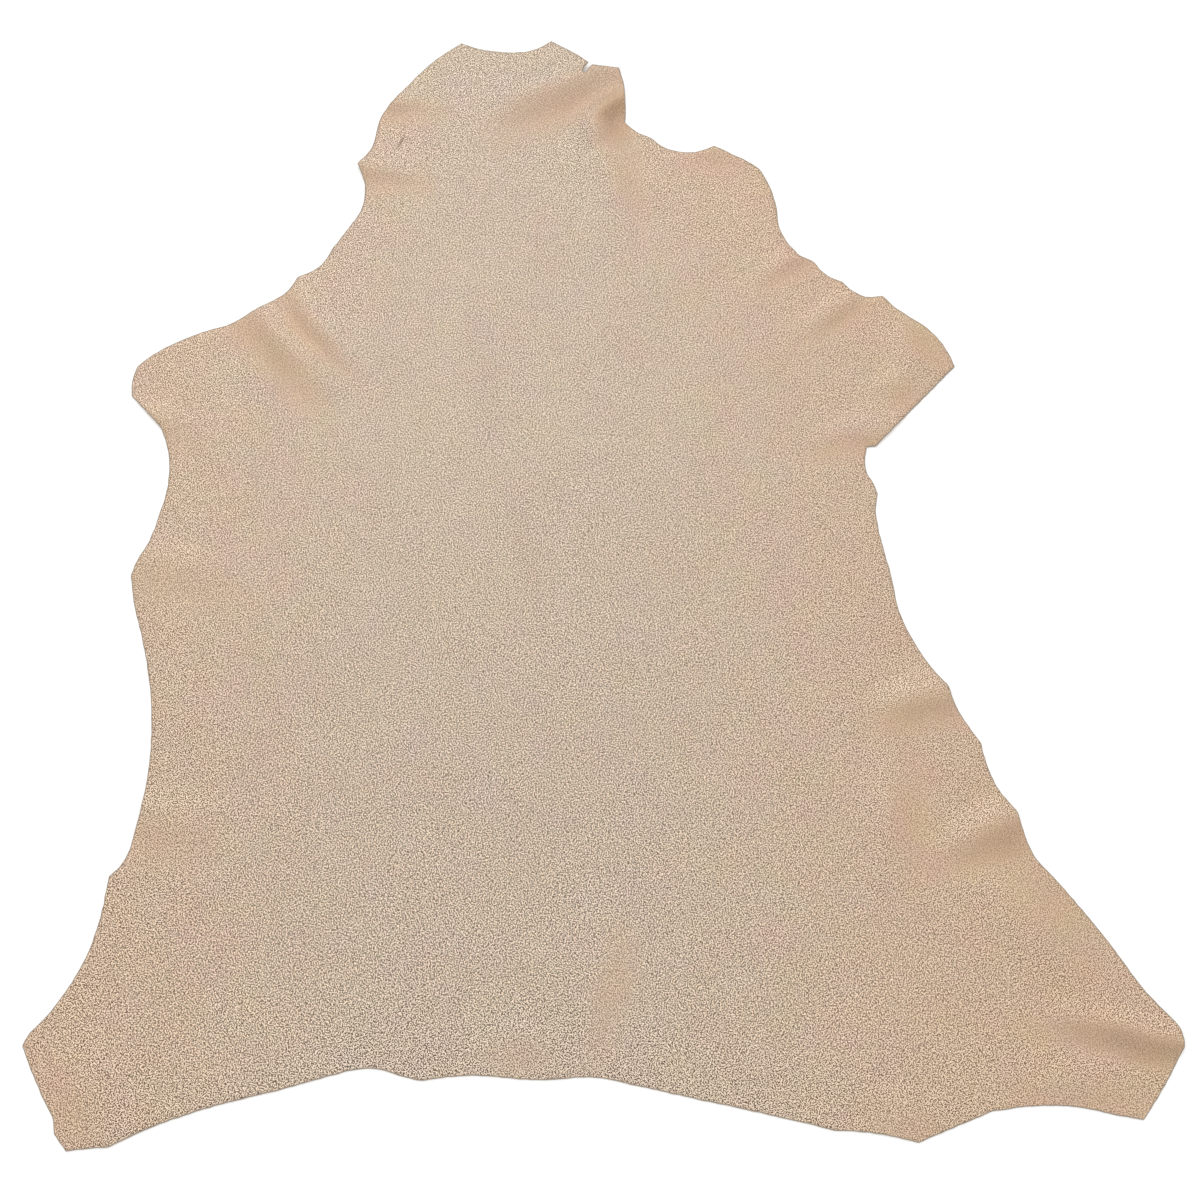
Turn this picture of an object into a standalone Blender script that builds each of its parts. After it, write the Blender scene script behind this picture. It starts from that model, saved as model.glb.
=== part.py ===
"""Leather hide: one whole skin, laid out flat with its foil-finished grain side up.

Metres, +Z up. The neck end points along +Y and the hind legs along -Y. The origin is on the
ground, under the middle of the skin's outline. The skin is a single sheet of even thickness.
Most of it lies flat on the ground, and soft folds lift the rest by a few millimetres.

Sizes in the tables below are in millimetres.
"""

import math

import bmesh
import bpy
from mathutils import Vector, noise
from mathutils.geometry import delaunay_2d_cdt

MM = 0.001

SKIN_THICKNESS = 1.2
EDGE_STEP = 7.0
FLAT_GRID = 28.0
FOLD_GRID_DIVISION = 4
FOLD_WANDER = 6.0
FOLD_WANDER_LENGTH = 45.0
EDGE_CLEARANCE = 4.0
MERGE_DISTANCE = 0.01

CHAMPAGNE = (0.56, 0.43, 0.32, 1.0)
GRAIN_ROUGHNESS = 0.42
GRAIN_METALLIC = 0.6

# The cut edge, clockwise from above. Each stretch is a smooth curve from the end of the stretch
# before it through its own (x, y) points, and ends in a corner. One point alone is a straight cut.
NECK_LEFT_PEAK = (-126, 470)
CUT_EDGE = [
    ("neck", [(-113, 465), (-95, 461.5), (-78, 460.5), (-62, 463), (-46, 472)]),
    ("crown", [(-30, 462.5), (-12.7, 448.4)]),
    ("slit, near side", [(-16.6, 443.6)]),
    ("slit, end", [(-17.3, 438)]),
    ("slit, end, far corner", [(-15, 438.2)]),
    ("slit, far side", [(-12, 443), (-8.9, 446)]),
    ("ear top", [(14.5, 444.4)]),
    ("ear side", [(18.5, 431), (20, 415), (20, 390)]),
    ("right cheek", [(30, 380.5), (43, 374), (51, 367), (66, 361), (80, 360), (98, 366)]),
    ("right nape", [(110, 360), (126, 352), (137, 344)]),
    ("right shoulder", [(145, 328), (151, 306), (152, 291), (157, 277), (169, 260.5)]),
    ("right shoulder, first scallop", [(181, 254.5)]),
    ("right shoulder, second scallop", [(192, 242), (205.5, 235.5)]),
    ("right shoulder, third scallop", [(213, 227), (221, 222.5), (239, 222.5)]),
    ("right foreleg, front", [(250, 211), (264, 201), (276, 192), (287, 179), (297, 157)]),
    ("right foreleg, straight cut", [(227, 85)]),
    ("right armpit", [(219.5, 84.5)]),
    ("right armpit, spur", [(218, 76), (219, 61), (224, 52), (227, 43.5)]),
    ("right flank", [(224.5, 30), (227, 8), (234, -24), (240, -58), (258, -96), (275.5, -119.5)]),
    ("right thigh", [(280, -133), (289, -150), (299, -165)]),
    ("right thigh, scallop", [(302, -180), (309, -199), (323.5, -220)]),
    ("right shank", [(328, -236), (335, -254), (350, -272), (388, -321), (411, -355), (430, -376)]),
    ("right hind leg, tip", [(435.5, -385), (437, -398)]),
    ("right hind leg, cut", [(429, -412), (402.5, -450)]),
    ("right hind leg, inside", [(380, -446), (356, -441), (325, -440), (290, -444)]),
    ("right tail corner", [(234, -466)]),
    ("right rump", [(205, -460), (172, -457.5)]),
    ("rump", [(140, -450), (60, -433), (2, -420.5)]),
    ("tail", [(-10, -419.5), (-42, -421.5), (-105, -418.5), (-137, -422)]),
    ("left rump", [(-152, -418.5), (-170, -413.5), (-192, -415)]),
    ("left hind leg, inside", [(-240, -428), (-300, -443), (-340, -457), (-366, -469)]),
    ("left hind leg, foot", [(-398, -472)]),
    ("left hind leg, nick", [(-408, -460)]),
    ("left hind leg, cut", [(-409.5, -451), (-419, -434), (-437.5, -397)]),
    ("left hock", [(-435.5, -392), (-419.5, -373), (-405.5, -352)]),
    ("left shank", [(-395, -331), (-387, -303), (-382.5, -270)]),
    ("left thigh", [(-375, -263), (-368, -249)]),
    ("left flank", [(-361, -215), (-357.5, -170), (-361, -124), (-371, -79), (-380, -49), (-383.5, -28)]),
    ("left armpit", [(-380, -16), (-372, 0), (-365.5, 22), (-359.5, 50), (-361.5, 82), (-369, 102)]),
    ("left foreleg, back", [(-395, 130)]),
    ("left foreleg, cut", [(-396, 141), (-392.5, 157.5)]),
    ("left foreleg", [(-377, 170), (-355, 182), (-337, 189.5), (-317, 196), (-296.5, 208.5), (-279, 219.5)]),
    ("left shoulder", [(-269.5, 226.5), (-261.5, 240)]),
    ("left nape", [(-243, 250), (-232, 268), (-219.5, 287), (-210, 303), (-207, 325), (-214, 348)]),
    ("left cheek", [(-203.5, 363), (-195, 396), (-178, 420), (-152, 450), (-126, 470)]),
]

# The folds, one row each: the middle of the fold's crest, the heading of the crest in degrees
# from +X, how far the fold reaches along the crest both ways, how far it reaches across on the
# left and on the right of that heading, and how high it stands. Each crest wanders a little to
# both sides, as soft skin does.
FOLD_COLUMNS = ("name", "x", "y", "heading", "along", "left", "right", "height")
FOLDS = [
    ("crown fold", -40, 429, 30, 94, 34, 30, 4.8),
    ("ear crest", 11, 413, 38, 28, 14, 13, 3.0),
    ("ear pucker", -2, 394, 78, 36, 26, 20, 4.0),
    ("ear pucker, tail", 8, 336, 100, 72, 22, 20, 1.8),
    ("left nape, upper fold", -198, 414, -9, 80, 24, 18, 2.2),
    ("left nape, lower fold", -216, 348, -3, 90, 24, 21, 2.4),
    ("left shoulder, first fold", -240, 197, -53, 66, 18, 17, 2.4),
    ("left shoulder, second fold", -264, 176, -49, 84, 18, 24, 3.4),
    ("right nape fold", 96, 364, 4, 42, 16, 20, 1.5),
    ("right shoulder, first fold", 160, 257, 38, 48, 16, 16, 1.5),
    ("right shoulder, second fold", 195, 211, 37, 50, 16, 16, 1.7),
    ("right foreleg roll", 266, 172, 124, 42, 28, 16, 1.8),
    ("right foreleg, cut side", 246, 141, 44, 26, 18, 15, 1.4),
    ("right armpit fold", 228, 98, 8, 82, 24, 15, 1.7),
    ("right flank, first fold", 258, -127, 12, 62, 26, 20, 3.3),
    ("right flank, second fold", 302, -231, 27, 70, 24, 20, 3.8),
    ("right flank, long fold", 226, -222, 88, 70, 30, 24, 2.2),
    ("right hind leg roll", 330, -305, 129, 80, 34, 30, 2.8),
    ("right hind leg, tip fold", 420, -391, -11, 106, 22, 15, 4.6),
    ("right hind leg, inside", 366, -420, -3, 84, 26, 26, 2.2),
    ("right tail corner", 226, -441, -6, 48, 24, 28, 1.8),
    ("tail, standing fold", -8, -355, 76, 74, 22, 20, 1.6),
    ("tail, lying fold", -62, -392, 0, 36, 18, 22, 1.3),
    ("left hind leg roll", -386, -428, -61, 62, 30, 30, 1.5),
    ("left thigh fold", -345, -222, -5, 66, 24, 30, 1.8),
    ("left flank fold", -368, -14, -8, 100, 25, 30, 1.6),
    ("left armpit fold", -382, 114, -12, 60, 20, 20, 1.5),
]


def smooth_curve(points, step):
    """Points about a step apart on a smooth curve through the given ones, without the first."""
    spans = [(b - a).length for a, b in zip(points, points[1:])]
    slopes = [(b - a) / span for a, b, span in zip(points, points[1:], spans)]
    tangents = [
        (slopes[i] * spans[i + 1] + slopes[i + 1] * spans[i]) / (spans[i] + spans[i + 1])
        for i in range(len(spans) - 1)
    ]
    if tangents:
        first = (slopes[0] * 3 - tangents[0]) / 2
        last = (slopes[-1] * 3 - tangents[-1]) / 2
    else:
        first = last = slopes[0]
    tangents = [first, *tangents, last]

    curve = []
    for i, span in enumerate(spans):
        pieces = max(1, round(span / step))
        for k in range(1, pieces + 1):
            t = k / pieces
            blend = t * t * (3 - 2 * t)
            leave = tangents[i] * span * t * (1 - t) ** 2
            arrive = tangents[i + 1] * span * t * t * (1 - t)
            curve.append(points[i] * (1 - blend) + points[i + 1] * blend + leave - arrive)
    return curve


def cut_edge():
    """The whole outline as a closed ring of points in millimetres."""
    ring = [Vector(NECK_LEFT_PEAK)]
    for _, points in CUT_EDGE:
        ring += smooth_curve([ring[-1], *map(Vector, points)], EDGE_STEP)
    return ring[:-1]


def lift(x, y):
    """How far the folds lift the skin off the ground at a point, in millimetres."""
    wander = noise.noise_vector(Vector((x, y, 0)) / FOLD_WANDER_LENGTH) * FOLD_WANDER
    total = 0.0
    for row in FOLDS:
        fold = dict(zip(FOLD_COLUMNS, row))
        heading = math.radians(fold["heading"])
        dx = x + wander.x - fold["x"]
        dy = y + wander.y - fold["y"]
        along = dx * math.cos(heading) + dy * math.sin(heading)
        across = dy * math.cos(heading) - dx * math.sin(heading)
        reach = fold["left"] if across > 0 else fold["right"]
        distance = math.hypot(along / fold["along"], across / reach)
        if distance < 1:
            total += fold["height"] * math.cos(distance * math.pi / 2) ** 2
    return total


def is_inside(ring, x, y):
    inside = False
    for a, b in zip(ring, ring[1:] + ring[:1]):
        if (a.y > y) != (b.y > y) and x < a.x + (b.x - a.x) * (y - a.y) / (b.y - a.y):
            inside = not inside
    return inside


def gap_to_edge(ring, x, y):
    point = Vector((x, y))
    nearest = math.inf
    for a, b in zip(ring, ring[1:] + ring[:1]):
        side = b - a
        t = min(1.0, max(0.0, (point - a).dot(side) / side.length_squared))
        nearest = min(nearest, (a + side * t - point).length)
    return nearest


def inner_points(ring):
    """A triangular grid inside the outline, fine on the folds and coarse on the flat."""
    pitch = FLAT_GRID / FOLD_GRID_DIVISION
    row_gap = pitch * math.sqrt(3) / 2
    columns = int(max(abs(p.x) for p in ring) / pitch) + 1
    rows = int(max(abs(p.y) for p in ring) / row_gap) + 1
    points = []
    for j in range(-rows, rows + 1):
        shift = (j // FOLD_GRID_DIVISION) % 2 * FLAT_GRID / 2 if j % FOLD_GRID_DIVISION == 0 else 0
        for i in range(-columns, columns + 1):
            x = (i + 0.5 * (j % 2)) * pitch
            y = j * row_gap
            coarse = j % FOLD_GRID_DIVISION == 0 and abs((x - shift) / FLAT_GRID % 1) < 0.01
            if not coarse and lift(x, y) == 0:
                continue
            if is_inside(ring, x, y) and gap_to_edge(ring, x, y) > EDGE_CLEARANCE:
                points.append(Vector((x, y)))
    return points


def skin_mesh():
    """Both faces of the skin over the same triangles, joined by the cut edge."""
    ring = cut_edge()
    flat = ring + inner_points(ring)
    sides = [(i, (i + 1) % len(ring)) for i in range(len(ring))]
    spots, _, triangles, _, _, _ = delaunay_2d_cdt(flat, sides, [], 1, MERGE_DISTANCE)

    mesh = bpy.data.meshes.new("hide")
    bm = bmesh.new()
    lifts = [lift(p.x, p.y) for p in spots]
    under = [bm.verts.new((p.x * MM, p.y * MM, h * MM)) for p, h in zip(spots, lifts)]
    grain = [bm.verts.new((v.co.x, v.co.y, v.co.z + SKIN_THICKNESS * MM)) for v in under]
    for corners in triangles:
        bm.faces.new([grain[i] for i in corners])
        bm.faces.new([under[i] for i in reversed(corners)])
    for a, b in sides:
        bm.faces.new((grain[a], grain[b], under[b], under[a]))
    bmesh.ops.recalc_face_normals(bm, faces=bm.faces)
    bm.to_mesh(mesh)
    bm.free()
    return mesh


def champagne_leather():
    material = bpy.data.materials.new("champagne leather")
    material.use_nodes = True
    shader = material.node_tree.nodes["Principled BSDF"]
    shader.inputs["Base Color"].default_value = CHAMPAGNE
    shader.inputs["Roughness"].default_value = GRAIN_ROUGHNESS
    shader.inputs["Metallic"].default_value = GRAIN_METALLIC
    return material


for old in list(bpy.data.objects):
    bpy.data.objects.remove(old)

hide = bpy.data.objects.new("hide", skin_mesh())
hide.data.materials.append(champagne_leather())
bpy.context.collection.objects.link(hide)
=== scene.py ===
"""Looks of the leather hide: the skin with its foiled pebble grain, the ground, light and camera."""

import math

import bmesh
import bpy
import numpy as np
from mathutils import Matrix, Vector, noise
from mathutils.geometry import delaunay_2d_cdt


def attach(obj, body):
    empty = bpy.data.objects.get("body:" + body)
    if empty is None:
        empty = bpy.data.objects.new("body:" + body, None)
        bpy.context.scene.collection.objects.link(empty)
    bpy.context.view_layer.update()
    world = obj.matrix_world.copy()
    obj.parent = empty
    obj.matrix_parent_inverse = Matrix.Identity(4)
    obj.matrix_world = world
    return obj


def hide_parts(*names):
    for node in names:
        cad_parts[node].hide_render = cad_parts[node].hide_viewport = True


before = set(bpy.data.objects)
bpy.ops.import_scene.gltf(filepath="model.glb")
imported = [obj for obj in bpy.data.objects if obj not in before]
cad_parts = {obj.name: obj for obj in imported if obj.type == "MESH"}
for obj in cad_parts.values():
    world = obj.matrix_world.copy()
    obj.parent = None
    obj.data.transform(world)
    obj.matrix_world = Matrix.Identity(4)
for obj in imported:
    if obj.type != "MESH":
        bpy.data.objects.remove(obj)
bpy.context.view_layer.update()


# The skin is one whole goat hide, chrome tanned and about 1.2 mm thick. A hot plate pressed the
# pebble grain into it and a champagne foil was rolled on top. It was knifed round the neck, legs
# and flanks, and it lies loose on the ground, lifted by soft folds at its edge.

MM = 0.001
SKIN_THICKNESS = 1.2
EDGE_STEP = 2.5
CORNER_TURN = 28
EDGE_ROUND_WIDTH = 0.9
EDGE_ROUND_DROP = 0.35
KNIFE_WAVER = 0.45
KNIFE_WAVER_LENGTH = 6.0
GRID_PITCH = 4.0
COCKLE_HEIGHT = 0.30
COCKLE_LENGTH = 70.0
COCKLE_SLICE = 7.0
# Fold shading: how strongly and where painted shade and painted highlight fall on the folds.
FULL_SHADE_STEEPNESS = 0.21
SHADED_SIDE_MIDDLE = 0.7
SHADED_SIDE_WIDTH = 1.25
SHADED_SIDE_LENGTH = 1.25
LIT_SIDE_MIDDLE = 0.35
LIT_SIDE_WIDTH = 0.6
PAINTED_HIGHLIGHT_SHARE = 0.12
FOLD_WANDER = 6.0
FOLD_WANDER_LENGTH = 45.0
CHART_SIDE = 954.0
CHART_CORNER = Vector((-441, -477))
CHART_FLESH_SHARE = 0.2
CHART_FLESH_MIDDLE = Vector((345, 372))
CHART_WALL_WIDTH = 1.2
SLOPING_NORMAL = 0.5
SOLID_WELD = 0.01
SKIN_WELD = 0.001
GRAIN_SIDE, FLESH_SIDE, CUT_SIDE = 0, 1, 2

FOLD_COLUMNS = ("x", "y", "heading", "along", "left", "right", "height")
FOLDS = {
    "crown fold": (-40, 429, 30, 94, 34, 30, 4.8),
    "ear crest": (11, 413, 38, 28, 14, 13, 3.0),
    "ear pucker": (-2, 394, 78, 36, 26, 20, 4.0),
    "ear pucker, tail": (8, 336, 100, 72, 22, 20, 1.8),
    "left nape, upper fold": (-198, 414, -9, 80, 24, 18, 2.2),
    "left nape, lower fold": (-216, 348, -3, 90, 24, 21, 2.4),
    "left shoulder, first fold": (-240, 197, -53, 66, 18, 17, 2.4),
    "left shoulder, second fold": (-264, 176, -49, 84, 18, 24, 3.4),
    "right nape fold": (96, 364, 4, 42, 16, 20, 1.5),
    "right shoulder, first fold": (160, 257, 38, 48, 16, 16, 1.5),
    "right shoulder, second fold": (195, 211, 37, 50, 16, 16, 1.7),
    "right foreleg roll": (266, 172, 124, 42, 28, 16, 1.8),
    "right foreleg, cut side": (246, 141, 44, 26, 18, 15, 1.4),
    "right armpit fold": (228, 98, 8, 82, 24, 15, 1.7),
    "right flank, first fold": (258, -127, 12, 62, 26, 20, 3.3),
    "right flank, second fold": (302, -231, 27, 70, 24, 20, 3.8),
    "right flank, long fold": (226, -222, 88, 70, 30, 24, 2.2),
    "right hind leg roll": (330, -305, 129, 80, 34, 30, 2.8),
    "right hind leg, tip fold": (420, -391, -11, 106, 22, 15, 4.6),
    "right hind leg, inside": (366, -420, -3, 84, 26, 26, 2.2),
    "right tail corner": (226, -441, -6, 48, 24, 28, 1.8),
    "tail, standing fold": (-8, -355, 76, 74, 22, 20, 1.6),
    "tail, lying fold": (-62, -392, 0, 36, 18, 22, 1.3),
    "left hind leg roll": (-386, -428, -61, 62, 30, 30, 1.5),
    "left thigh fold": (-345, -222, -5, 66, 24, 30, 1.8),
    "left flank fold": (-368, -14, -8, 100, 25, 30, 1.6),
    "left armpit fold": (-382, 114, -12, 60, 20, 20, 1.5),
    "ear crease": (10, 404, 60, 13, 6, 6, 0.7),
}


def dome(u, v):
    """A smooth round dome: 1 in the middle and 0 from a distance of 1 outward."""
    return np.cos(np.minimum(1, np.hypot(u, v)) * math.pi / 2) ** 2


def lift(x, y):
    """How far the folds lift the skin at points x, y in millimetres, and the painted fold shading there:
    painted shade on each fold's side facing away from the soft box, less where a painted highlight falls
    on its side facing the box.

    The wander's noise has no seed of its own, so its offset follows the clock and differs from run to run.
    """
    spots = [Vector((a, b, 0)) / FOLD_WANDER_LENGTH for a, b in zip(x, y)]
    wander = FOLD_WANDER * np.array([noise.noise_vector(spot) for spot in spots])
    height = np.zeros(len(x))
    fold_shading = np.zeros(len(x))
    for row in FOLDS.values():
        fold = dict(zip(FOLD_COLUMNS, row))
        heading = math.radians(fold["heading"])
        dx = x + wander[:, 0] - fold["x"]
        dy = y + wander[:, 1] - fold["y"]
        along = (dx * math.cos(heading) + dy * math.sin(heading)) / fold["along"]
        across = dy * math.cos(heading) - dx * math.sin(heading)
        height += fold["height"] * dome(along, across / np.where(across > 0, fold["left"], fold["right"]))
        # Painted shade: a band on the fold's side facing away from the soft box.
        shaded_side = dome(along / SHADED_SIDE_LENGTH, (across / fold["right"] + SHADED_SIDE_MIDDLE) / SHADED_SIDE_WIDTH)
        # Painted highlight: a weaker band on the fold's side facing the soft box.
        lit_side = dome(along, (across / fold["left"] - LIT_SIDE_MIDDLE) / LIT_SIDE_WIDTH)
        steepness = fold["height"] / fold["right"]
        fold_shading += steepness / FULL_SHADE_STEEPNESS * (shaded_side - PAINTED_HIGHLIGHT_SHARE * lit_side)
    return height, fold_shading


def solid_edge(solid):
    """The solid's cut edge as a ring of points in millimetres, with the skin on the left."""
    bm = bmesh.new()
    bm.from_mesh(solid.data)
    bmesh.ops.remove_doubles(bm, verts=bm.verts, dist=SOLID_WELD * MM)
    after = {}
    for wall in bm.faces:
        if abs(wall.normal.z) > SLOPING_NORMAL:
            continue
        for loop in wall.loops:
            neighbours = [f for f in loop.edge.link_faces if f.normal.z > SLOPING_NORMAL]
            if neighbours:
                after[loop.link_loop_next.vert] = loop.vert
    start = vert = next(iter(after))
    ring = []
    while not ring or vert != start:
        ring.append(Vector((vert.co.x, vert.co.y)) / MM)
        vert = after[vert]
    bm.free()
    return ring


def knife_edge(ring):
    """The ring as a finer curve that keeps its corners, with the waver of a hand-held knife."""
    count = len(ring)
    turns = []
    for i in range(count):
        before = ring[i] - ring[i - 1]
        after = ring[(i + 1) % count] - ring[i]
        turns.append(abs(math.degrees(before.angle_signed(after))))
    fine = []
    for i in range(count):
        a, b = ring[i], ring[(i + 1) % count]
        leave = (b - ring[i - 1]) / 2 if turns[i] < CORNER_TURN else b - a
        arrive = (ring[(i + 2) % count] - a) / 2 if turns[(i + 1) % count] < CORNER_TURN else b - a
        pieces = max(1, round((b - a).length / EDGE_STEP))
        for k in range(pieces):
            t = k / pieces
            blend = t * t * (3 - 2 * t)
            point = a * (1 - blend) + b * blend
            fine.append(point + leave * t * (1 - t) ** 2 - arrive * t * t * (1 - t))
    out = outward(fine)
    spots = [Vector((p.x, p.y, 0)) / KNIFE_WAVER_LENGTH for p in fine]
    return [p + n * KNIFE_WAVER * noise.noise(s) for p, n, s in zip(fine, out, spots)]


def outward(ring):
    """The unit vectors that point off the skin at each point of its edge."""
    sides = [(ring[(i + 1) % len(ring)] - ring[i - 1]).normalized() for i in range(len(ring))]
    return [Vector((s.y, -s.x)) for s in sides]


def grid_points(ring):
    """An even triangular grid of points inside the ring, clear of its edge."""
    row_gap = GRID_PITCH * math.sqrt(3) / 2
    corners = np.array([p[:] for p in ring])
    columns = int(abs(corners[:, 0]).max() / GRID_PITCH) + 1
    rows = int(abs(corners[:, 1]).max() / row_gap) + 1
    j, i = np.mgrid[-rows : rows + 1, -columns : columns + 1]
    x = ((i + 0.5 * (j % 2)) * GRID_PITCH).ravel()
    y = (j * row_gap).ravel()
    inside = np.zeros(len(x), bool)
    gap = np.full(len(x), np.inf)
    ends = np.roll(corners, -1, axis=0)
    for (ax, ay), (bx, by) in zip(corners, ends):
        crosses = ((ay > y) != (by > y)) & (x < ax + (bx - ax) * (y - ay) / ((by - ay) or 1))
        inside ^= crosses
        gap = np.minimum(gap, np.hypot(x - ax, y - ay))
    keep = inside & (gap > EDGE_STEP)
    return [Vector(p) for p in zip(x[keep], y[keep])]


def skin_mesh(solid):
    """The skin as one closed mesh: grain side, flesh side, and a cut edge that is rounded on top."""
    rim = knife_edge(solid_edge(solid))
    out = outward(rim)
    inner = [p - n * EDGE_ROUND_WIDTH for p, n in zip(rim, out)]
    flat = inner + grid_points(inner)
    count = len(rim)
    sides = [(i, (i + 1) % count) for i in range(count)]
    spots, _, triangles, _, _, _ = delaunay_2d_cdt(flat, sides, [], 1, SKIN_WELD)

    x = np.array([p.x for p in spots])
    y = np.array([p.y for p in spots])
    under, fold_shading = lift(x, y)
    cockle = [noise.noise(Vector((p.x, p.y, COCKLE_SLICE)) / COCKLE_LENGTH) for p in spots]
    top = under + SKIN_THICKNESS + COCKLE_HEIGHT * np.array(cockle)
    rim_x = np.array([p.x for p in rim])
    rim_y = np.array([p.y for p in rim])
    rim_under = lift(rim_x, rim_y)[0]

    bm = bmesh.new()
    # The painted fold shading goes to the material as a vertex attribute.
    painted_fold_shade = bm.verts.layers.float.new("painted_fold_shade")
    grain = [bm.verts.new(Vector(co) * MM) for co in zip(x, y, top)]
    for vert, amount in zip(grain, fold_shading):
        vert[painted_fold_shade] = amount
    flesh = [bm.verts.new(Vector(co) * MM) for co in zip(x, y, under)]
    lip_height = rim_under + SKIN_THICKNESS - EDGE_ROUND_DROP
    lip = [bm.verts.new(Vector(co) * MM) for co in zip(rim_x, rim_y, lip_height)]
    foot = [bm.verts.new(Vector(co) * MM) for co in zip(rim_x, rim_y, rim_under)]
    for corners in triangles:
        bm.faces.new([grain[i] for i in corners]).material_index = GRAIN_SIDE
        bm.faces.new([flesh[i] for i in reversed(corners)]).material_index = FLESH_SIDE
    for a, b in sides:
        bm.faces.new((grain[b], grain[a], lip[a], lip[b])).material_index = CUT_SIDE
        bm.faces.new((lip[b], lip[a], foot[a], foot[b])).material_index = CUT_SIDE
        bm.faces.new((foot[b], foot[a], flesh[a], flesh[b])).material_index = FLESH_SIDE
    bmesh.ops.recalc_face_normals(bm, faces=bm.faces)
    lay_out_chart(bm, dict(zip(foot, out)))
    mesh = bpy.data.meshes.new("skin")
    bm.to_mesh(mesh)
    bm.free()
    mesh.shade_smooth()
    return mesh


def lay_out_chart(bm, walls):
    """The flat layout for textures: the grain side whole, the flesh side small in its free corner."""
    chart = bm.loops.layers.uv.new("OFBake")
    for face in bm.faces:
        for loop in face.loops:
            spot = loop.vert.co.to_2d() / MM
            if face.material_index == FLESH_SIDE:
                spot = spot * CHART_FLESH_SHARE + CHART_FLESH_MIDDLE
            elif loop.vert in walls:
                spot = spot + walls[loop.vert] * CHART_WALL_WIDTH
            loop[chart].uv = (spot - CHART_CORNER) / CHART_SIDE


def linear(hex_colour):
    """An sRGB hex value such as "d8bfa4" as linear RGBA."""
    values = [int(hex_colour[i : i + 2], 16) / 255 for i in (0, 2, 4)]
    return (*[v / 12.92 if v <= 0.04045 else ((v + 0.055) / 1.055) ** 2.4 for v in values], 1)


def add(tree, kind, inputs, **settings):
    """Adds a node. inputs gives each socket, by name or number, a value or another node's output."""
    new = tree.nodes.new(kind)
    for name, value in settings.items():
        setattr(new, name, value)
    for socket, value in inputs.items():
        if isinstance(value, bpy.types.NodeSocket):
            tree.links.new(value, new.inputs[socket])
        else:
            new.inputs[socket].default_value = value
    return new


# Foiled grain: tiny rounded pebbles with narrow grooves between them, bumped into the surface. The
# colour holds painted light: a painted glint on the foil of the pebble tops and painted shade in the
# grooves, most on the hind end. On a fold's side away from the soft box the glint is painted out as
# painted shade, so plain tan shows, deepest on the belly; on its side toward the box the glint is
# painted stronger, as a painted highlight.
# Three turned noises of this size add up to uneven pebbles about 1.5 mm apart, a little closer
# than the real 1.7 mm, with no rows or lines among them.
PEBBLE_SIZE = 0.88
PEBBLE_TURNS = (12, 42, 72)
PEBBLE_WARP = 0.25
PEBBLE_CONTRAST = 3.2
PEBBLE_HEIGHT = 0.07
NOISE_MIDDLE = 0.5

# How strong the bumps and the painted glint are: by the fold shading, and by where the spot is on
# the skin, stronger toward the hind end and weaker on the right side. Places on the skin are in
# metres from its middle.
STREAK_LENGTH = 14.0
# Where the fold shading reaches full painted highlight and full painted shade, and how much glint shows
# there.
FULL_HIGHLIGHT_AT, FULL_SHADE_AT = -0.4, 1.15
HIGHLIGHT_GLINT_SHARE, SHADE_GLINT_SHARE = 1.15, 0.58
# The bumps and the painted glint are stronger toward the hind end and weaker on the right side.
HIND_END, SHOULDERS = -0.45, 0.10
HIND_STRENGTH, SHOULDER_STRENGTH = 1.0, 0.7
RIGHT_SIDE_START, RIGHT_SIDE_END = 0.0, 0.42
MIDDLE_STRENGTH, RIGHT_SIDE_STRENGTH = 1.0, 0.8

# How light the pebble colour is, lighter toward the hind end and darker toward the neck, and how warm
# the skin is from the back line out to the belly; the fold shading warms it too, as painted shade.
NECK_START, NECK_END = 0.15, 0.45
# The pebble colour leans lighter toward the hind end and darker toward the neck.
HIND_LEVEL, NECK_LEVEL = 0.57, 0.45
BACK_LINE = -0.08
BACK_HALF_WIDTH, BELLY_HALF_WIDTH = 0.10, 0.42
BODY_TAPER, NECK_TAPER = 1.0, 2.2
# Painted shade on the folds warms the colour, and deepens to a painted darker tan, more on the belly.
FOLD_SHADE_WARMTH = 0.8
BELLY_SHADE_SHARE = 0.6
PLAIN_TAN_AT, SHADED_TAN_AT = 0.75, 2.7
TINT_LENGTH = 30.0
TINT_SHARE = 0.09

# Pebble tops: light foil with a painted glint. Grooves: painted shade.
FOIL_AND_GLINT_ON_BACK, FOIL_AND_GLINT_ON_BELLY = "f6e1cb", "f9dbbd"
GROOVE_SHADE_ON_BACK, GROOVE_SHADE_ON_BELLY = "493620", "5b391e"
# Plain tan shows where the glint is painted out; the darker tan is painted shade in the deepest fold
# hollows.
TAN, SHADED_TAN = "caaa8b", "997652"
MARK_BROWN = "5c4634"
FOILED_METALLIC, BARE_METALLIC = 0.4, 0.1
FOILED_ROUGHNESS, BARE_ROUGHNESS = 0.42, 0.7

foil = bpy.data.materials.new("foiled pebble grain")
foil.use_nodes = True
tree = foil.node_tree
shader = tree.nodes["Principled BSDF"]
place = add(tree, "ShaderNodeTexCoord", {}).outputs["Object"]
spot = add(tree, "ShaderNodeSeparateXYZ", {"Vector": place})
# The fold shading from the mesh: painted shade where positive, painted highlight where negative, mottled
# by streaks.
fold_shade_attribute = add(tree, "ShaderNodeAttribute", {}, attribute_name="painted_fold_shade").outputs["Fac"]
streaks = add(
    tree,
    "ShaderNodeTexNoise",
    {"Vector": place, "Scale": 1 / (STREAK_LENGTH * MM), "Detail": 3.0},
).outputs["Fac"]
painted_fold_shade = add(
    tree,
    "ShaderNodeMath",
    {0: streaks, 1: fold_shade_attribute, 2: fold_shade_attribute},
    operation="MULTIPLY_ADD",
).outputs[0]
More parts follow.
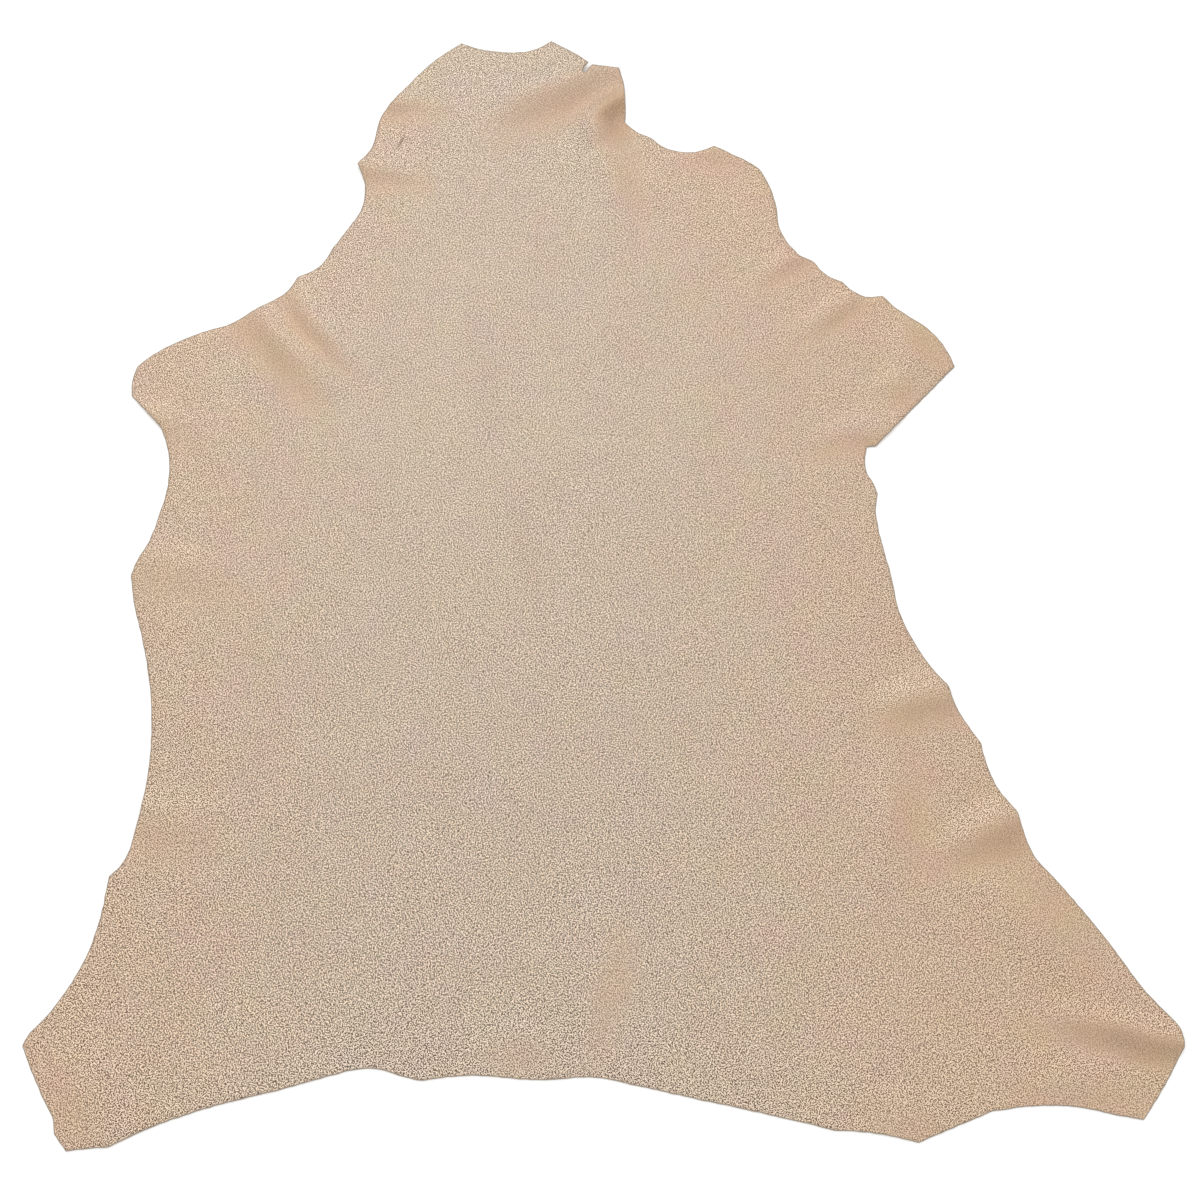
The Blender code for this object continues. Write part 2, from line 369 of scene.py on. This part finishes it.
# Less glint and more plain tan as painted shade on fold sides away from the soft box, more glint as a
# painted highlight on sides facing it.
glint_share = add(
    tree,
    "ShaderNodeMapRange",
    {
        "Value": painted_fold_shade,
        "From Min": FULL_HIGHLIGHT_AT,
        "From Max": FULL_SHADE_AT,
        "To Min": HIGHLIGHT_GLINT_SHARE,
        "To Max": SHADE_GLINT_SHARE,
    },
).outputs["Result"]
# Stronger bumps and painted glint toward the hind end, weaker on the right side.
hind_end_strength = add(
    tree,
    "ShaderNodeMapRange",
    {
        "Value": spot.outputs["Y"],
        "From Min": HIND_END,
        "From Max": SHOULDERS,
        "To Min": HIND_STRENGTH,
        "To Max": SHOULDER_STRENGTH,
    },
).outputs["Result"]
right_side_strength = add(
    tree,
    "ShaderNodeMapRange",
    {
        "Value": spot.outputs["X"],
        "From Min": RIGHT_SIDE_START,
        "From Max": RIGHT_SIDE_END,
        "To Min": MIDDLE_STRENGTH,
        "To Max": RIGHT_SIDE_STRENGTH,
    },
).outputs["Result"]
place_strength = add(tree, "ShaderNodeMath", {0: hind_end_strength, 1: right_side_strength}, operation="MULTIPLY").outputs[0]
# The strength of the bumps and of the painted glint together.
bump_and_glint_depth = add(tree, "ShaderNodeMath", {0: glint_share, 1: place_strength}, operation="MULTIPLY").outputs[0]
pebble = 0.0
for turn in PEBBLE_TURNS:
    turned = add(tree, "ShaderNodeMapping", {"Vector": place, "Rotation": (0, 0, math.radians(turn))})
    bumps = add(
        tree,
        "ShaderNodeTexNoise",
        {
            "Vector": turned.outputs["Vector"],
            "Scale": 1 / (PEBBLE_SIZE * MM),
            "Detail": 0.0,
            "Distortion": PEBBLE_WARP,
        },
        noise_dimensions="2D",
    ).outputs["Fac"]
    level = add(tree, "ShaderNodeMath", {0: bumps, 1: NOISE_MIDDLE}, operation="SUBTRACT").outputs[0]
    pebble = add(
        tree,
        "ShaderNodeMath",
        {0: level, 1: PEBBLE_CONTRAST, 2: pebble},
        operation="MULTIPLY_ADD",
    ).outputs[0]
# Lighter pebble colour toward the hind end, darker toward the neck.
colour_level = add(
    tree,
    "ShaderNodeMapRange",
    {
        "Value": spot.outputs["Y"],
        "From Min": HIND_END,
        "From Max": NECK_END,
        "To Min": HIND_LEVEL,
        "To Max": NECK_LEVEL,
    },
).outputs["Result"]
# Painted glint: the pebble pattern sets how far each spot leans from groove shade to foil glint.
painted_glint = add(tree, "ShaderNodeMath", {0: pebble, 1: colour_level}, operation="ADD").outputs[0]
off_back = add(
    tree,
    "ShaderNodeMath",
    {0: spot.outputs["X"], 1: BACK_LINE},
    operation="SUBTRACT",
).outputs[0]
taper = add(
    tree,
    "ShaderNodeMapRange",
    {
        "Value": spot.outputs["Y"],
        "From Min": NECK_START,
        "From Max": NECK_END,
        "To Min": BODY_TAPER,
        "To Max": NECK_TAPER,
    },
).outputs["Result"]
body_width = add(tree, "ShaderNodeMath", {0: off_back, 1: taper}, operation="MULTIPLY").outputs[0]
belly = add(tree, "ShaderNodeMath", {0: body_width}, operation="ABSOLUTE").outputs[0]
belly_amount = add(
    tree,
    "ShaderNodeMapRange",
    {"Value": belly, "From Min": BACK_HALF_WIDTH, "From Max": BELLY_HALF_WIDTH},
).outputs["Result"]
# Warmer from the back line out to the belly, and warmer as painted shade on fold sides away from the soft
# box.
warmth = add(
    tree,
    "ShaderNodeMath",
    {0: fold_shade_attribute, 1: FOLD_SHADE_WARMTH, 2: belly_amount},
    operation="MULTIPLY_ADD",
    use_clamp=True,
).outputs[0]
# Foil colour with a painted glint on the pebble tops.
foil_and_glint_colour = add(
    tree,
    "ShaderNodeMix",
    {0: warmth, 6: linear(FOIL_AND_GLINT_ON_BACK), 7: linear(FOIL_AND_GLINT_ON_BELLY)},
    data_type="RGBA",
).outputs[2]
# Painted shade in the grooves between the pebbles.
groove_shade_colour = add(
    tree,
    "ShaderNodeMix",
    {0: warmth, 6: linear(GROOVE_SHADE_ON_BACK), 7: linear(GROOVE_SHADE_ON_BELLY)},
    data_type="RGBA",
).outputs[2]
even_colour = add(
    tree,
    "ShaderNodeMix",
    {0: colour_level, 6: groove_shade_colour, 7: foil_and_glint_colour},
    data_type="RGBA",
).outputs[2]
pebble_colour = add(
    tree,
    "ShaderNodeMix",
    {0: painted_glint, 6: groove_shade_colour, 7: foil_and_glint_colour},
    data_type="RGBA",
).outputs[2]
# The painted glint, faded to an even colour where the glint strength is low.
painted_glint_colour = add(
    tree,
    "ShaderNodeMix",
    {0: bump_and_glint_depth, 6: even_colour, 7: pebble_colour},
    data_type="RGBA",
).outputs[2]
# The painted shade darkens to the darker tan in the deepest fold hollows, more on the belly.
belly_weighted_shade = add(
    tree,
    "ShaderNodeMath",
    {0: belly_amount, 1: BELLY_SHADE_SHARE, 2: painted_fold_shade},
    operation="MULTIPLY_ADD",
).outputs[0]
shaded_tan_amount = add(
    tree,
    "ShaderNodeMapRange",
    {"Value": belly_weighted_shade, "From Min": PLAIN_TAN_AT, "From Max": SHADED_TAN_AT},
).outputs["Result"]
tan_and_shade_colour = add(
    tree,
    "ShaderNodeMix",
    {0: shaded_tan_amount, 6: linear(TAN), 7: linear(SHADED_TAN)},
    data_type="RGBA",
).outputs[2]
# Where the fold shading paints shade, the glint gives way to plain tan.
skin_colour = add(
    tree,
    "ShaderNodeMix",
    {0: glint_share, 6: tan_and_shade_colour, 7: painted_glint_colour},
    data_type="RGBA",
).outputs[2]
tint = add(
    tree,
    "ShaderNodeTexNoise",
    {"Vector": place, "Scale": 1 / (TINT_LENGTH * MM), "Detail": 3.0},
).outputs["Color"]
tinted_colour = add(
    tree,
    "ShaderNodeMix",
    {0: TINT_SHARE, 6: skin_colour, 7: tint},
    data_type="RGBA",
    blend_type="OVERLAY",
).outputs[2]

# Marks of the animal's life: a healed scratch on the nape, and the darker hair line down the back.
# Sizes are in millimetres.
MARK_COLUMNS = ("x", "y", "heading", "length", "width", "darkness")
MARKS = {
    "healed scratch": (-177, 370, 63, 24, 3.6, 0.7),
    "back line, shoulders": (-98, 140, -80, 230, 36, 0.045),
    "back line, loin": (-65, 0, -73, 200, 36, 0.045),
}
darkness = 0.0
for row in MARKS.values():
    mark = dict(zip(MARK_COLUMNS, row))
    laid = add(
        tree,
        "ShaderNodeMapping",
        {
            "Vector": place,
            "Location": (mark["x"] * MM, mark["y"] * MM, 0),
            "Rotation": (0, 0, math.radians(mark["heading"])),
            "Scale": (mark["length"] / 2 * MM, mark["width"] / 2 * MM, 1),
        },
        vector_type="TEXTURE",
    ).outputs["Vector"]
    reach = add(tree, "ShaderNodeVectorMath", {0: laid}, operation="LENGTH").outputs["Value"]
    shade = add(
        tree,
        "ShaderNodeMapRange",
        {"Value": reach, "From Min": 1.0, "From Max": 0.0, "To Max": mark["darkness"]},
        interpolation_type="SMOOTHSTEP",
    ).outputs["Result"]
    darkness = add(tree, "ShaderNodeMath", {0: shade, 1: darkness}, operation="ADD").outputs[0]
marked_colour = add(
    tree,
    "ShaderNodeMix",
    {0: darkness, 6: tinted_colour, 7: linear(MARK_BROWN)},
    data_type="RGBA",
).outputs[2]
bump = add(
    tree,
    "ShaderNodeBump",
    {"Strength": bump_and_glint_depth, "Distance": PEBBLE_HEIGHT * MM, "Height": pebble},
)
foil_cover = add(
    tree,
    "ShaderNodeMapRange",
    {"Value": glint_share, "To Min": BARE_METALLIC, "To Max": FOILED_METALLIC},
).outputs["Result"]
polish = add(
    tree,
    "ShaderNodeMapRange",
    {"Value": glint_share, "To Min": BARE_ROUGHNESS, "To Max": FOILED_ROUGHNESS},
).outputs["Result"]
tree.links.new(marked_colour, shader.inputs["Base Color"])
tree.links.new(bump.outputs["Normal"], shader.inputs["Normal"])
tree.links.new(foil_cover, shader.inputs["Metallic"])
tree.links.new(polish, shader.inputs["Roughness"])

# Flesh side suede: shaved and buffed, so its short nap is matt and a little mottled.
NAP_LENGTH = 6.0
NAP_DARK, NAP_LIGHT = "a88f76", "cdb79d"
NAP_ROUGHNESS = 0.95

suede = bpy.data.materials.new("flesh side suede")
suede.use_nodes = True
tree = suede.node_tree
shader = tree.nodes["Principled BSDF"]
place = add(tree, "ShaderNodeTexCoord", {}).outputs["Object"]
nap = add(
    tree,
    "ShaderNodeTexNoise",
    {"Vector": place, "Scale": 1 / (NAP_LENGTH * MM), "Detail": 4.0},
).outputs["Fac"]
nap_colour = add(
    tree,
    "ShaderNodeMix",
    {0: nap, 6: linear(NAP_DARK), 7: linear(NAP_LIGHT)},
    data_type="RGBA",
).outputs[2]
tree.links.new(nap_colour, shader.inputs["Base Color"])
shader.inputs["Roughness"].default_value = NAP_ROUGHNESS

# Knife-cut edge: bare fibres with no foil, so it is matt and greyer than either side.
FIBRE_LENGTH = 1.5
FIBRE_DARK, FIBRE_LIGHT = "877868", "b3a291"
FIBRE_ROUGHNESS = 0.9

cut = bpy.data.materials.new("knife-cut edge")
cut.use_nodes = True
tree = cut.node_tree
shader = tree.nodes["Principled BSDF"]
place = add(tree, "ShaderNodeTexCoord", {}).outputs["Object"]
fibres = add(
    tree,
    "ShaderNodeTexNoise",
    {"Vector": place, "Scale": 1 / (FIBRE_LENGTH * MM), "Detail": 3.0},
).outputs["Fac"]
cut_colour = add(
    tree,
    "ShaderNodeMix",
    {0: fibres, 6: linear(FIBRE_DARK), 7: linear(FIBRE_LIGHT)},
    data_type="RGBA",
).outputs[2]
tree.links.new(cut_colour, shader.inputs["Base Color"])
shader.inputs["Roughness"].default_value = FIBRE_ROUGHNESS

skin = bpy.data.objects.new("skin", skin_mesh(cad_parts["hide"]))
bpy.context.collection.objects.link(skin)
for material in (foil, suede, cut):
    skin.data.materials.append(material)
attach(skin, "root")
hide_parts("hide")


# The ground is matt white paper, laid flat a little below the skin so that the two never meet.
# The paper also has a faint glow of its own, painted light that keeps the shadow at the skin's edge
# soft.
FLOOR_SIDE = 14.0
FLOOR_GAP = 0.15
PAPER_TOOTH = 40.0
PAPER_DARK, PAPER_LIGHT = "f6f6f5", "fbfbfa"
PAPER_ROUGHNESS = 0.9
PAPER_GLOW = 0.12

bm = bmesh.new()
bmesh.ops.create_grid(bm, x_segments=1, y_segments=1, size=FLOOR_SIDE / 2)
floor_mesh = bpy.data.meshes.new("ground")
bm.to_mesh(floor_mesh)
bm.free()
ground = bpy.data.objects.new("ground", floor_mesh)
ground.location.z = -FLOOR_GAP * MM
bpy.context.collection.objects.link(ground)
paper = bpy.data.materials.new("matt white paper")
paper.use_nodes = True
tree = paper.node_tree
shader = tree.nodes["Principled BSDF"]
place = add(tree, "ShaderNodeTexCoord", {}).outputs["Object"]
tooth = add(
    tree,
    "ShaderNodeTexNoise",
    {"Vector": place, "Scale": 1 / (PAPER_TOOTH * MM)},
).outputs["Fac"]
paper_colour = add(
    tree,
    "ShaderNodeMix",
    {0: tooth, 6: linear(PAPER_DARK), 7: linear(PAPER_LIGHT)},
    data_type="RGBA",
).outputs[2]
tree.links.new(paper_colour, shader.inputs["Base Color"])
shader.inputs["Roughness"].default_value = PAPER_ROUGHNESS
# Painted light: the paper glows faintly though it is no lamp.
shader.inputs["Emission Color"].default_value = linear("ffffff")
shader.inputs["Emission Strength"].default_value = PAPER_GLOW
ground.data.materials.append(paper)


# The light is one wide soft box beyond the neck end and an even white room.
ROOM_STRENGTH = 0.91
SOFT_BOX_WIDTH = 6.0
SOFT_BOX_DEPTH = 4.0
SOFT_BOX_POWER = 220
SOFT_BOX_PLACE = (-1.0, 6.0, 7.0)

world = bpy.data.worlds.new("white room")
world.use_nodes = True
sky = world.node_tree.nodes["Background"]
sky.inputs["Color"].default_value = linear("ffffff")
sky.inputs["Strength"].default_value = ROOM_STRENGTH
bpy.context.scene.world = world

lamp = bpy.data.lights.new("soft box", "AREA")
lamp.shape = "RECTANGLE"
lamp.size = SOFT_BOX_WIDTH
lamp.size_y = SOFT_BOX_DEPTH
lamp.energy = SOFT_BOX_POWER
soft_box = bpy.data.objects.new("soft box", lamp)
soft_box.location = SOFT_BOX_PLACE
aim = -soft_box.location
soft_box.rotation_mode = "QUATERNION"
soft_box.rotation_quaternion = aim.to_track_quat("-Z", "Y")
bpy.context.collection.objects.link(soft_box)


# The camera looks down on the skin from the hind end.
CAMERA_HEIGHT = 1.300
CAMERA_BACK = 0.4153
CAMERA_SIDE = -0.0023
CAMERA_TILT = 15.8
FOCAL_LENGTH = 50
FILM_WIDTH = 36

lens = bpy.data.cameras.new("camera")
lens.lens = FOCAL_LENGTH
lens.sensor_width = FILM_WIDTH
camera = bpy.data.objects.new("camera", lens)
camera.location = (CAMERA_SIDE, -CAMERA_BACK, CAMERA_HEIGHT)
camera.rotation_euler = (math.radians(CAMERA_TILT), 0, 0)
bpy.context.collection.objects.link(camera)
bpy.context.scene.camera = camera
bpy.context.scene.view_settings.view_transform = "Standard"
